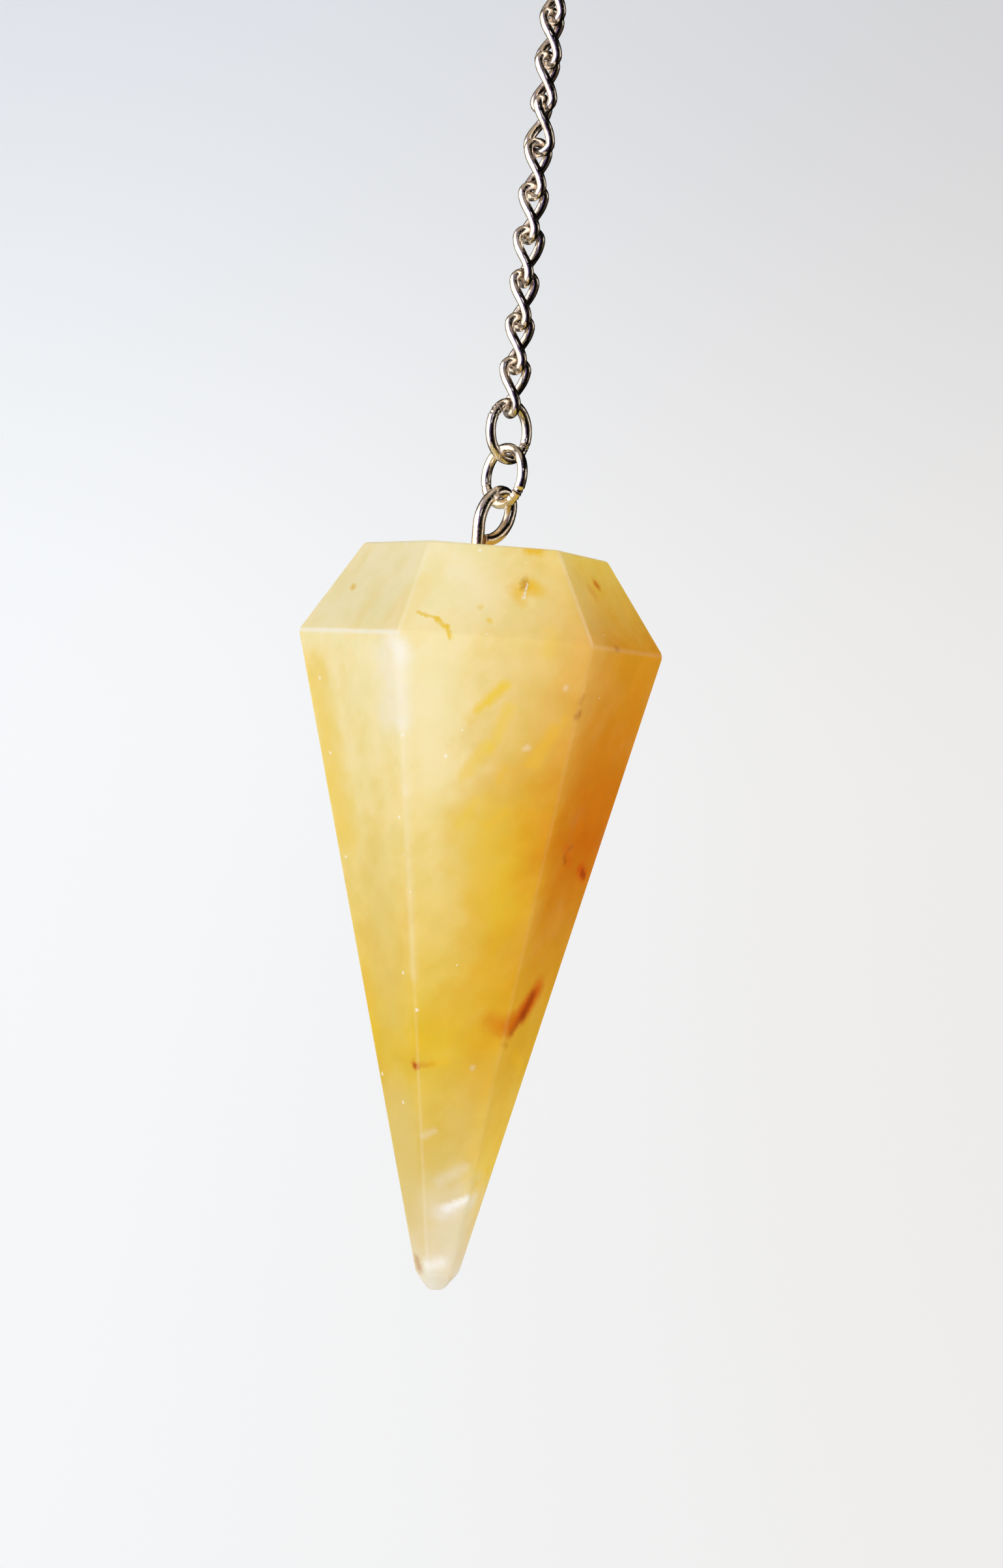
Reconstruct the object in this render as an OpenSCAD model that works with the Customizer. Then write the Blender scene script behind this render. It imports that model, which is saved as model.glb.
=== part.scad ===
// Pendulum pendant: a hexagonal pointed stone on a wire eye, two jump rings and a twisted curb chain.
// The origin is where the end ring hangs: the inside of its wire, at the top. +Z is up and -Y is the front.

/* [Stone] */
// Length of the stone, from its table to its tip
stone_h = 38; // [26:0.5:60]
// Width across the corners at the girdle, the stone's widest level
girdle_w = 18.8; // [14:0.1:30]
// Width across the corners of the table, the flat on top
table_w = 12.4; // [8:0.1:13.6]
// Height of the crown, from the girdle up to the table
crown_h = 4.65; // [2:0.05:8]
// Width across the corners where the long faces give way to the small faces of the tip
tip_w = 2.35; // [1.6:0.05:4]
// Width across the corners of the flat at the end of the tip
tip_flat_w = 0.85; // [0.3:0.05:1.4]
// Height of the small faces of the tip
tip_h = 0.9; // [0.4:0.05:2]
// Number of faces around the stone
faces = 6; // [5:1:10]
// Turn of the front face away from the front, in degrees
stone_turn = 5.3; // [-30:0.1:30]

/* [Wire eye] */
// Thickness of the eye's wire
eye_wire = 0.63; // [0.4:0.01:0.9]
// Radius of the shoulder between the shank and the round top, to the middle of the wire
eye_shoulder_r = 2; // [1.6:0.05:3]
// Radius of the tail that comes back to the shank, to the middle of the wire
eye_tail_r = 1.88; // [1.4:0.02:2.6]
// Angle at which the shoulder meets the round top, in degrees
eye_lean = 114; // [100:1:130]
// Distance of the shank from the middle of the stone
shank_offset = 0.83; // [0.3:0.01:1.6]
// Depth of the shank below the table
shank_depth = 6; // [2:0.5:12]
// Direction of the eye's plane, in degrees from +X towards +Y
eye_turn = 45; // [25:1:65]

/* [Jump rings] */
// Outer diameter of a jump ring
ring_d = 3.4; // [3:0.05:6]
// Thickness of a jump ring's wire
ring_wire = 0.53; // [0.4:0.01:0.56]
// Width of the slit where the two ends of a ring meet
ring_seam = 0.05; // [0.03:0.01:0.1]
// Turn of the upper ring's plane, in degrees from +X towards +Y; the lower ring's is turned the other way
ring_turn = 50; // [35:1:60]
// Place of the lower ring's seam, in degrees around it from its side
lower_seam = -35; // [-60:1:60]
// Place of the upper ring's seam
upper_seam = -25; // [-60:1:60]
// Place of the end ring's seam
end_seam = 0; // [-60:1:60]

/* [Chain links] */
// Outer length of a link
link_l = 3.26; // [2.9:0.01:5]
// Thickness of a link's wire
link_wire = 0.49; // [0.4:0.01:0.56]
// Height of a link's round end, to the middle of its wire
link_end = 0.5; // [0.4:0.01:0.7]
// Twist of a link from one end to the other, in degrees
link_twist = 90; // [80:1:100]

/* [Clearances] */
// Play of a wire of the chain between the legs of a link
link_play = 0.3; // [0.2:0.01:0.6]
// Play of the lower ring's wire under the round top of the eye
eye_play = 0.1; // [0.05:0.01:0.4]
// Gap between the eye's tail and the table
tail_gap = 0.22; // [0.1:0.01:1]
// Gap between two wires that hang in each other
hang_gap = 0.04; // [0.02:0.01:0.1]
// Gap round the shank in its hole
shank_gap = 0.04; // [0.02:0.01:0.1]
// How much thicker the wire is where one bend runs into the next
bend_swell = 0.01; // [0.01:0.01:0.03]

/* [Hidden] */
// How far each link of the chain is turned about the chain, in degrees, from the top link down
LINK_TURNS = [0, 3, 2, 20, -8, -18, -26, -14, -14, -22];
// How far each crown face stands out at the table from an even cut, from the front face round to its right
CROWN_UNEVEN = [0, -0.1, 0.05, -0.05, 0.1, 0.2];

LINK_COUNT = len(LINK_TURNS);
LINK_SIDES = 6;
END_STEPS = 4;
LEG_STEPS = 4;
SMOOTH = 48;
// Angle of one face around the stone, and what turns a width across corners into a distance to a face
FACE_ANGLE = 360 / faces;
TO_FACE = cos(FACE_ANGLE / 2) / 2;

// Radii to the middle of the wires, and a link's half length and half width
ring_r = (ring_d - ring_wire) / 2;
link_a = (link_l - link_wire) / 2;
link_b = link_wire + link_play / 2;
// Length of a link's straight leg above its middle, and the length over which it twists
link_leg = link_a - link_end;
twist_run = link_leg + link_end / 2;

// Heights of the stack, from the origin down
link_pitch = 2 * link_a - link_wire - hang_gap;
link_on_ring = (ring_wire + link_wire) / 2 + hang_gap;
end_ring_z = -(ring_d / 2 - ring_wire);
first_link_z = end_ring_z - ring_r + link_on_ring - link_a;
last_link_z = first_link_z - (LINK_COUNT - 1) * link_pitch;
upper_ring_z = last_link_z - link_a + link_on_ring - ring_r;
lower_ring_z = upper_ring_z - 2 * ring_r + ring_wire + hang_gap;
// The lower ring's bottom wire carries the eye
pivot_z = lower_ring_z - ring_r;

// Radius of the eye's round top: the lower ring's wire passes under it
eye_loop_r = (eye_wire + ring_wire) / 2 + hang_gap + eye_play;
// Centres of the eye's bends in its own plane: [out from the stone's axis, up from the table]
loop_centre = [
    eye_shoulder_r - shank_offset + (eye_shoulder_r - eye_loop_r) * cos(eye_lean),
    tail_gap + eye_wire / 2 + eye_tail_r
];
shoulder_centre = loop_centre - (eye_shoulder_r - eye_loop_r) * [cos(eye_lean), sin(eye_lean)];
tail_centre = loop_centre - [eye_tail_r - eye_loop_r, 0];
// The tail ends just short of the shank
tail_reach = -shank_offset + eye_wire / 2 + hang_gap - tail_centre[0];
tail_sweep = acos(tail_reach / eye_tail_r);
// Where the lower ring's wire sits under the round top
pivot_in_eye = loop_centre + [0, eye_play];

// Centre of mass of the crown and of the long faces, below the table, for the angle at which the stone hangs
function frustum_volume(top, base, height) = height * (top * top + top * base + base * base) / 3;
function frustum_centre(top, base, height) =
    height * (top * top + 2 * top * base + 3 * base * base) / (4 * (top * top + top * base + base * base));
long_h = stone_h - crown_h - tip_h;
crown_volume = frustum_volume(table_w, girdle_w, crown_h);
long_volume = frustum_volume(girdle_w, tip_w, long_h);
mass_drop = (crown_volume * frustum_centre(table_w, girdle_w, crown_h)
    + long_volume * (crown_h + frustum_centre(girdle_w, tip_w, long_h))) / (crown_volume + long_volume);
// The centre of mass hangs straight below the pivot, so the stone leans a little
stone_lean = atan(pivot_in_eye[0] / (mass_drop + pivot_in_eye[1]));

function link_name(i) = str("link_", i < 10 ? "0" : "", i);

// Places what hangs on the lower ring: local X lies in the eye's plane and local Z is the stone's axis
module on_pivot() {
    translate([0, 0, pivot_z])
        rotate([0, 0, eye_turn])
            rotate([0, -stone_lean, 0])
                translate([-pivot_in_eye[0], 0, -pivot_in_eye[1]])
                    children();
}

// The levels at which the stone's faces change their slope, from the tip up: [width across corners, height]
LEVELS = [[tip_flat_w, -stone_h], [tip_w, tip_h - stone_h], [girdle_w, -crown_h], [table_w, 0]];
LAST_LEVEL = len(LEVELS) - 1;
function azimuth(i) = 270 + stone_turn - eye_turn + i * FACE_ANGLE;
// Distance of one face from the stone's axis at one level; only the table's outline is uneven
function face_out(i, level) =
    LEVELS[level][0] * TO_FACE + (level == LAST_LEVEL ? CROWN_UNEVEN[i % len(CROWN_UNEVEN)] : 0);
// The corner where one face and the next meet at a level
function stone_corner(i, level) =
    let (this = azimuth(i), next = azimuth(i + 1), a = face_out(i, level), b = face_out((i + 1) % faces, level))
    [
        (a * sin(next) - b * sin(this)) / sin(FACE_ANGLE),
        (b * cos(this) - a * cos(next)) / sin(FACE_ANGLE),
        LEVELS[level][1]
    ];
function corner_index(i, level) = level * faces + i % faces;

module cut_stone() {
    corners = [for (level = [0:LAST_LEVEL]) for (i = [0:faces - 1]) stone_corner(i, level)];
    tip_flat = [for (i = [0:faces - 1]) corner_index(i, 0)];
    table = [for (i = [0:faces - 1]) corner_index(faces - 1 - i, LAST_LEVEL)];
    sides = [
        for (level = [0:LAST_LEVEL - 1]) for (i = [0:faces - 1]) [
            corner_index(i, level),
            corner_index(i, level + 1),
            corner_index(i + 1, level + 1),
            corner_index(i + 1, level)
        ]
    ];
    polyhedron(points = corners, faces = concat([tip_flat, table], sides));
}

// The stone with its drilled hole, which is a little deeper and wider than the shank
module stone() {
    color("goldenrod")
        on_pivot()
            difference() {
                cut_stone();
                translate([-shank_offset, 0, -shank_depth - shank_gap])
                    cylinder(d = eye_wire + 2 * shank_gap, h = shank_depth + 2 * shank_gap, $fn = SMOOTH);
            }
}

// One bend of the eye's wire in its own plane, from a start angle on through a sweep
module bend(centre, radius, start, sweep) {
    translate([centre[0], 0, centre[1]])
        rotate([90, 0, 0])
            rotate([0, 0, start])
                rotate_extrude(angle = sweep, $fn = SMOOTH)
                    translate([radius, 0])
                        circle(d = eye_wire, $fn = SMOOTH);
}

// Where one bend runs into the next, given as a place on a bend, the wire swells very slightly
module bend_joint(centre, radius, angle) {
    translate([centre[0] + radius * cos(angle), 0, centre[1] + radius * sin(angle)])
        sphere(d = eye_wire + bend_swell, $fn = SMOOTH);
}

module eye() {
    color("silver")
        on_pivot() {
            translate([-shank_offset, 0, -shank_depth])
                cylinder(d = eye_wire, h = shank_depth + shoulder_centre[1], $fn = SMOOTH);
            bend_joint(shoulder_centre, eye_shoulder_r, 180);
            bend(shoulder_centre, eye_shoulder_r, eye_lean, 180 - eye_lean);
            bend_joint(loop_centre, eye_loop_r, eye_lean);
            bend(loop_centre, eye_loop_r, 0, eye_lean);
            bend_joint(loop_centre, eye_loop_r, 0);
            bend(tail_centre, eye_tail_r, -tail_sweep, tail_sweep);
        }
}

// A round jump ring, open only at its seam
module jump_ring(height, turn, seam) {
    slit = ring_seam / ring_r * 180 / PI;
    color("silver")
        translate([0, 0, height])
            rotate([90, 0, turn])
                rotate([0, 0, seam + slit / 2])
                    rotate_extrude(angle = 360 - slit, $fn = SMOOTH)
                        translate([ring_r, 0])
                            circle(d = ring_wire, $fn = SMOOTH);
}

module lower_ring() {
    jump_ring(lower_ring_z, -ring_turn, lower_seam);
}

module upper_ring() {
    jump_ring(upper_ring_z, ring_turn, upper_seam);
}

// The end ring stands square to the top of the first link
module end_ring() {
    jump_ring(end_ring_z, level_angle(link_a) + LINK_TURNS[0] - 90, end_seam);
}

// Half of a flat link, as [across, along]: one round end and the leg that follows it
HALF_LINK = concat(
    [for (k = [0:END_STEPS]) [
        link_b * cos(180 * k / END_STEPS),
        link_leg + link_end * sin(180 * k / END_STEPS)
    ]],
    [for (k = [1:LEG_STEPS - 1]) [-link_b, link_leg * (1 - 2 * k / LEG_STEPS)]]
);
FLAT_LINK = concat(HALF_LINK, -HALF_LINK);
STATIONS = len(FLAT_LINK);

// A link's twist turns each level about its axis; at its middle one leg is in front of the other
function clamp(value, limit) = max(-limit, min(limit, value));
function level_angle(z) = 90 - link_twist / 2 * sin(90 * clamp(z / twist_run, 1));
function twisted(across, along, z) = [across * cos(level_angle(z)), across * sin(level_angle(z)), along];
function station(k) = let (p = FLAT_LINK[k % STATIONS]) twisted(p[0], p[1], p[1]);
function outward(k) = let (p = FLAT_LINK[k]) twisted(p[0], p[1] - clamp(p[1], link_leg), p[1]);
function unit(v) = v / norm(v);

// One section of the wire, square to its run
function section(k) =
    let (
        run = unit(station(k + 1) - station(k + STATIONS - 1)),
        out = unit(outward(k) - (outward(k) * run) * run),
        side = cross(run, out)
    )
    [for (s = [0:LINK_SIDES - 1])
        station(k) + link_wire / 2 * (cos(360 * s / LINK_SIDES) * out + sin(360 * s / LINK_SIDES) * side)];

function corner(k, s) = (k % STATIONS) * LINK_SIDES + s % LINK_SIDES;

module chain_link(i) {
    points = [for (k = [0:STATIONS - 1]) each section(k)];
    triangles = [
        for (k = [0:STATIONS - 1]) for (s = [0:LINK_SIDES - 1])
            each [
                [corner(k, s), corner(k, s + 1), corner(k + 1, s + 1)],
                [corner(k, s), corner(k + 1, s + 1), corner(k + 1, s)]
            ]
    ];
    color("silver")
        translate([0, 0, first_link_z - (i - 1) * link_pitch])
            rotate([0, 0, LINK_TURNS[i - 1]])
                polyhedron(points = points, faces = triangles);
}

stone();
eye();
lower_ring();
upper_ring();
for (i = [1:LINK_COUNT]) chain_link(i);
end_ring();
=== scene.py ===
# %% [markdown]
# # A pendulum pendant in Blender
# The real object is a pointed, six-sided stone of honey-yellow quartz. It hangs by a bent wire eye
# and two jump rings from a short curb chain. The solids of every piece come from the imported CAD
# model, and this lesson dresses them: it bevels the stone's edges, draws smooth wire for the metal,
# and gives both their finish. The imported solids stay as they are, and in the picture each new
# piece takes the place of one.

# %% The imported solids
import math

import bmesh
import bpy
from mathutils import Matrix, Vector
from mathutils.bvhtree import BVHTree


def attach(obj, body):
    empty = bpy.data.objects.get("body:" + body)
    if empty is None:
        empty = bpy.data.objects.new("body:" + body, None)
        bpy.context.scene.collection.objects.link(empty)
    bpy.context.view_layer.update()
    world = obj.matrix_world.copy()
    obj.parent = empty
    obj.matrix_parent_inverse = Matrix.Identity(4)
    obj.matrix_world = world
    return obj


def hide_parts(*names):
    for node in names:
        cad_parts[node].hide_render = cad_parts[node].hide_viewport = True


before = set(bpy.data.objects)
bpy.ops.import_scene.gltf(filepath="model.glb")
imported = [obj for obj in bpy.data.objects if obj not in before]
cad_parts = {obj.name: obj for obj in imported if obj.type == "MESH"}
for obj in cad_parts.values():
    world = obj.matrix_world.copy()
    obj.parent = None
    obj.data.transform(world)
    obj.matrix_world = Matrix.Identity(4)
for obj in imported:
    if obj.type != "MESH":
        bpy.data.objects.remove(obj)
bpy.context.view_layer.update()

# %% [markdown]
# ## The pendant's own measures
# A jeweller thinks in millimetres, and Blender in metres. The pieces could be drawn in metres, but
# then every number would start with zeros. So they are drawn in millimetres, with the same sizes
# as the CAD source, and each finished mesh is scaled once at the end. Heights are counted from the
# point where the end ring hangs, downwards.

# %% Measures in millimetres
MM = 0.001
# A ring: its wire's thickness, and the radius of the wire's middle line
RING_WIRE, RING_RADIUS = 0.53, 1.435
# A link before its twist: its wire, half its length and width by the wire's middle, its round end
LINK_WIRE, LINK_HALF, LINK_HALF_WIDTH, LINK_END = 0.49, 1.385, 0.64, 0.5
# The chain: the step from link to link, the top link's height, and each link's turn in degrees
LINK_PITCH, FIRST_LINK = 2.24, -3.44
LINK_TURNS = (0, 3, 2, 20, -8, -18, -26, -14, -14, -22)
# Heights of the rings' middles, and of the line that the eye swings about
END_RING, UPPER_RING, LOWER_RING = -1.17, -25.87, -28.17
PIVOT = -29.605
# The eye: its wire, its shank's place beside the stone's middle and depth in it, and its arcs
EYE_WIRE, SHANK_OUT, SHANK_DEPTH = 0.63, -0.83, 6
SHOULDER_RADIUS, TOP_RADIUS, TAIL_RADIUS, EYE_LEAN = 2, 0.72, 1.88, 114
TOP_CENTRE = Vector((0.6494, 2.415))
RING_UNDER_TOP = 0.1
# How the stone hangs: the eye's turn and the stone's lean, in degrees, and the stone's height
EYE_TURN, STONE_LEAN, STONE_HEIGHT = 45, 2.651, 38


def turn(degrees, axis):
    """A rotation about X, Y or Z."""
    return Matrix.Rotation(math.radians(degrees), 4, axis)


# What hangs on the lower ring is drawn with the middle of the stone's table at the origin,
# and this matrix puts it on the ring.
ON_PIVOT = (
    Matrix.Translation((0, 0, PIVOT))
    @ turn(EYE_TURN, "Z")
    @ turn(-STONE_LEAN, "Y")
    @ Matrix.Translation((-TOP_CENTRE.x, 0, -TOP_CENTRE.y - RING_UNDER_TOP))
)
print("The table's middle is at", [round(x, 2) for x in ON_PIVOT.translation])

# %% [markdown]
# ## The camera
# The photograph was taken level with the pendant, from about twelve centimetres, with the camera
# held a little crooked, so that the plumb chain leans to the right. The pendant could be leaned
# instead, but then it would not hang plumb, so the camera is rolled. The lens follows from the
# distance and from how many pixels a millimetre takes up at the pendant. The camera comes first,
# because marks on the stone are placed later by sending a ray through a pixel of its picture.

# %% Camera
PICTURE = Vector((1540, 2408))
PIXELS_PER_MM = 30
# In millimetres, but the roll in degrees and the clipping distances in metres
CAMERA_DISTANCE = 120
CAMERA_AIM = Vector((1.51, 0, -43.865))
SENSOR = 36
CAMERA_ROLL = 6
NEAREST, FARTHEST = 0.005, 20

lens = bpy.data.cameras.new("camera")
lens.sensor_fit = "VERTICAL"
lens.sensor_height = SENSOR
lens.lens = SENSOR * PIXELS_PER_MM * CAMERA_DISTANCE / PICTURE.y
lens.clip_start, lens.clip_end = NEAREST, FARTHEST
camera = bpy.data.objects.new("camera", lens)
bpy.context.scene.collection.objects.link(camera)
bpy.context.scene.camera = camera
camera.matrix_world = (
    Matrix.Translation((CAMERA_AIM + Vector((0, -CAMERA_DISTANCE, 0))) * MM)
    @ turn(90, "X")
    @ turn(CAMERA_ROLL, "Z")
)
bpy.context.view_layer.update()
print("Lens:", round(lens.lens, 1), "mm")

# %% [markdown]
# ## Node helpers
# Every finish below is a small tree of shader nodes. Written out in full, each node takes several
# lines, so a few helpers keep the trees short. One adds a node and fills its inputs with numbers
# or with other nodes' outputs, and the others name what is used often: a sum, a mix of two colours,
# a soft step. Colours are written as a paint program shows them and turned into the linear light
# that Blender works in.


# %% Node helpers
SCREEN_GAMMA = 2.2


def paint(red, green, blue):
    """A colour from 0 to 255 a channel, as linear light."""
    return tuple((c / 255) ** SCREEN_GAMMA for c in (red, green, blue)) + (1,)


def add(tree, kind, settings=None, **inputs):
    """Adds a node. An input is a number, a colour or another node's output."""
    node = tree.nodes.new(kind)
    for name, value in (settings or {}).items():
        setattr(node, name, value)
    for name, value in inputs.items():
        socket = node.inputs[int(name[1:]) if name[1:].isdigit() else name.replace("_", " ")]
        if isinstance(value, bpy.types.NodeSocket):
            tree.links.new(value, socket)
        else:
            socket.default_value = value
    return node


def sum_up(tree, operation, *values):
    """The result of one Math node."""
    inputs = {f"i{n}": value for n, value in enumerate(values)}
    return add(tree, "ShaderNodeMath", {"operation": operation}, **inputs).outputs[0]


def aim(tree, operation, *values):
    """The vector that one Vector Math node puts out."""
    inputs = {f"i{n}": value for n, value in enumerate(values)}
    return add(tree, "ShaderNodeVectorMath", {"operation": operation}, **inputs).outputs[0]


def measure(tree, operation, *values):
    """The number that one Vector Math node puts out, such as a length or a dot product."""
    inputs = {f"i{n}": value for n, value in enumerate(values)}
    return add(tree, "ShaderNodeVectorMath", {"operation": operation}, **inputs).outputs[1]


def times(tree, vector, factor):
    """A vector made longer or shorter."""
    settings = {"operation": "SCALE"}
    return add(tree, "ShaderNodeVectorMath", settings, i0=vector, Scale=factor).outputs[0]


def split(tree, vector):
    """The three numbers of a vector."""
    return add(tree, "ShaderNodeSeparateXYZ", i0=vector).outputs


def noise(tree, place, scale, detail):
    """Soft noise in space: a value and a colour."""
    return add(tree, "ShaderNodeTexNoise", Vector=place, Scale=scale, Detail=detail).outputs


def blend_colours(tree, share, under, over, how="MIX"):
    """Lays one colour over another by a share from 0 to 1."""
    node = add(
        tree, "ShaderNodeMix", {"data_type": "RGBA", "blend_type": how}, i0=share, i6=under, i7=over
    )
    return node.outputs[2]


def ease(tree, value, low, high, out_low=0.0, out_high=1.0):
    """A soft step: out_low up to low, out_high from high on."""
    return add(
        tree,
        "ShaderNodeMapRange",
        {"interpolation_type": "SMOOTHSTEP"},
        Value=value,
        From_Min=low,
        From_Max=high,
        To_Min=out_low,
        To_Max=out_high,
    ).outputs[0]


def ramp(tree, value, stops):
    """A colour that changes along a value from 0 to 1, given as (value, colour) stops."""
    node = add(tree, "ShaderNodeValToRGB", Fac=value)
    bar = node.color_ramp.elements
    for n, (at, colour) in enumerate(stops):
        stop = bar[n] if n < 2 else bar.new(at)
        stop.position, stop.color = at, colour
    return node.outputs[0]


def new_group(name, inputs, outputs):
    """An empty shader node group with named sockets, and its two ends."""
    group = bpy.data.node_groups.new(name, "ShaderNodeTree")
    for side, sockets in (("INPUT", inputs), ("OUTPUT", outputs)):
        for label, kind in sockets.items():
            group.interface.new_socket(label, in_out=side, socket_type="NodeSocket" + kind)
    given = group.nodes.new("NodeGroupInput").outputs
    wanted = group.nodes.new("NodeGroupOutput").inputs
    return group, given, wanted


def use(tree, group, **inputs):
    """Places a node group in a tree. Its outputs are returned."""
    return add(tree, "ShaderNodeGroup", {"node_tree": group}, **inputs).outputs


def new_material(name):
    """A material with an empty tree but for its Principled shader."""
    material = bpy.data.materials.new(name)
    material.use_nodes = True
    tree = material.node_tree
    return material, tree, tree.nodes["Principled BSDF"]


print("Half grey, 128 of 255, is", round(paint(128, 128, 128)[0], 3), "in linear light")

# %% [markdown]
# ## The ground
# The photograph has a bright, nearly white ground behind the pendant. It could be a flat plane, but
# its far edge would draw a line through the picture. So it is a sweep, as in a photographer's
# studio: a pale floor that curves up into a wall. A single line is extruded step by step, from
# the front to the back and up.

# %% Floor and sweep
# In millimetres, but the curve's step in degrees
FLOOR_DROP, FLOOR_HALF, FLOOR_FRONT = 170, 1500, -1400
SWEEP_START, SWEEP_RADIUS, SWEEP_STEP, WALL_RISE = 150, 420, 5, 1500


def extrude_rim(shape, rim):
    """Extrudes a line of edges. Returns the new corners, still to be moved, and the new edges."""
    grown = bmesh.ops.extrude_edge_only(shape, edges=rim)["geom"]
    corners = [part for part in grown if isinstance(part, bmesh.types.BMVert)]
    fresh = set(corners)
    edges = [part for part in grown if isinstance(part, bmesh.types.BMEdge)]
    return corners, [edge for edge in edges if fresh.issuperset(edge.verts)]


def build_sweep():
    """A floor line, drawn from the front to the back and up the wall."""
    sheet = bmesh.new()
    ends = [sheet.verts.new((x, FLOOR_FRONT, -FLOOR_DROP)) for x in (-FLOOR_HALF, FLOOR_HALF)]
    rim = [sheet.edges.new(ends)]
    steps = [Vector((0, SWEEP_START - FLOOR_FRONT, 0))]
    angles = [math.radians(angle) for angle in range(0, 91, SWEEP_STEP)]
    for a, b in zip(angles, angles[1:]):
        step = Vector((0, math.sin(b) - math.sin(a), math.cos(a) - math.cos(b)))
        steps.append(SWEEP_RADIUS * step)
    steps.append(Vector((0, 0, WALL_RISE)))
    for step in steps:
        moved, rim = extrude_rim(sheet, rim)
        bmesh.ops.translate(sheet, verts=moved, vec=step)
    bmesh.ops.recalc_face_normals(sheet, faces=sheet.faces)
    bmesh.ops.scale(sheet, vec=(MM,) * 3, verts=sheet.verts)
    for face in sheet.faces:
        face.smooth = True
    mesh = bpy.data.meshes.new("sweep")
    sheet.to_mesh(mesh)
    sheet.free()
    return mesh


sweep = bpy.data.objects.new("sweep", build_sweep())
bpy.context.scene.collection.objects.link(sweep)
print("Sweep:", len(sweep.data.polygons), "strips")

# %% [markdown]
# ## Paper for the ground
# The ground in the photograph is lighter towards the bottom and a little warmer to the right.
# Lamps could make that, but they would light the stone too. So the paper glows by itself, in tones
# that change up and across. The wire must not mirror that glow, which would wash out the dark room
# in it, so the sweep is hidden from reflections.

# %% Pale paper
# In metres: from where to where the tone changes, up and across
PAPER_LOW, PAPER_HIGH = -0.05, 0.24
PAPER_LEFT, PAPER_RIGHT = -0.16, 0.18
PAPER_BELOW, PAPER_ABOVE = paint(249, 252, 255), paint(213, 218, 226)
PAPER_WARM = paint(242, 237, 232)
PAPER_GREY, PAPER_GLOW, PAPER_ROUGHNESS = 0.2, 0.84, 0.9

sweep.visible_glossy = False
paper, tree, shader = new_material("pale_paper")
across, _, height = split(tree, add(tree, "ShaderNodeTexCoord").outputs["Object"])
rise = ease(tree, height, PAPER_LOW, PAPER_HIGH)
tone = blend_colours(tree, rise, PAPER_BELOW, PAPER_ABOVE)
warmth = ease(tree, across, PAPER_LEFT, PAPER_RIGHT)
tone = blend_colours(tree, warmth, tone, PAPER_WARM, "MULTIPLY")
tree.links.new(tone, shader.inputs["Emission Color"])
shader.inputs["Base Color"].default_value = (PAPER_GREY, PAPER_GREY, PAPER_GREY, 1)
shader.inputs["Emission Strength"].default_value = PAPER_GLOW
shader.inputs["Roughness"].default_value = PAPER_ROUGHNESS
sweep.data.materials.append(paper)
print("Paper:", len(tree.nodes), "nodes")

# %% [markdown]
# ## The room
# Polished wire shows the room around it: in the photograph a bright window side on the left, and
# dark elsewhere. A picture of a room could surround the scene, but a few soft patches of light, by
# direction, look the same on thin wire and are easier to change. A patch is a node group with named
# inputs, placed once for each light surface. The wire mirrors these patches, while the stone
# scatters their light, and the photograph's balance of the two needs a weaker room on the stone.
# So the room's strength depends on the kind of ray.

# %% Room
ROOM_TONE = (0.002, 0.0017, 0.0015, 1)
# Each light surface: where it is, the cosines of its edge and of its full strength, and its tone
ROOM_LIGHTS = (
    ((-0.45, 1.0, 0.0), 0.88, 0.96, (0.14, 0.12, 0.11, 1)),
    ((-0.4, -0.2, 1.0), 0.65, 0.93, (0.30, 0.25, 0.19, 1)),
    ((1.0, -0.10, -0.1), 0.84, 0.96, (0.055, 0.04, 0.03, 1)),
    ((-0.35, -0.2, -1.0), 0.70, 0.91, (0.72, 0.62, 0.49, 1)),
    ((-0.84, -0.52, 0.0), 0.50, 0.66, (0.13, 0.10, 0.26, 1)),
    ((-0.97, -0.25, 0.0), 0.60, 0.76, (1.12, 1.06, 0.96, 1)),
    ((-0.80, -0.60, 0.15), 0.91, 0.95, (2.4, 2.4, 2.4, 1)),
    ((1.0, -0.05, 0.2), 0.96, 0.985, (0.70, 0.64, 0.56, 1)),
)
IN_METAL, ON_STONE = 1.45, 0.36
BEHIND_THE_SWEEP = paint(226, 228, 232)

patch, patch_in, patch_out = new_group(
    "light_patch",
    {"Direction": "Vector", "Towards": "Vector", "Edge": "Float", "Full": "Float"},
    {"Share": "Float"},
)
aimed = aim(patch, "NORMALIZE", patch_in["Towards"])
facing = measure(patch, "DOT_PRODUCT", patch_in["Direction"], aimed)
patch.links.new(ease(patch, facing, patch_in["Edge"], patch_in["Full"]), patch_out["Share"])

room = bpy.data.worlds.new("room")
bpy.context.scene.world = room
room.use_nodes = True
tree = room.node_tree
tree.nodes.clear()
direction = add(tree, "ShaderNodeTexCoord").outputs["Generated"]
tone = ROOM_TONE
for towards, edge, full, light in ROOM_LIGHTS:
    share = use(tree, patch, Direction=direction, Towards=towards, Edge=edge, Full=full)[0]
    tone = blend_colours(tree, share, tone, light)
ray = add(tree, "ShaderNodeLightPath").outputs
strength = sum_up(tree, "MULTIPLY_ADD", ray["Is Diffuse Ray"], ON_STONE - IN_METAL, IN_METAL)
lit = add(tree, "ShaderNodeBackground", Color=tone, Strength=strength).outputs[0]
seen = add(tree, "ShaderNodeBackground", Color=BEHIND_THE_SWEEP, Strength=1.0).outputs[0]
mixed = add(tree, "ShaderNodeMixShader", i0=ray["Is Camera Ray"], i1=lit, i2=seen)
add(tree, "ShaderNodeOutputWorld", Surface=mixed.outputs[0])
print("Room:", len(ROOM_LIGHTS), "light patches")

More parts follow.
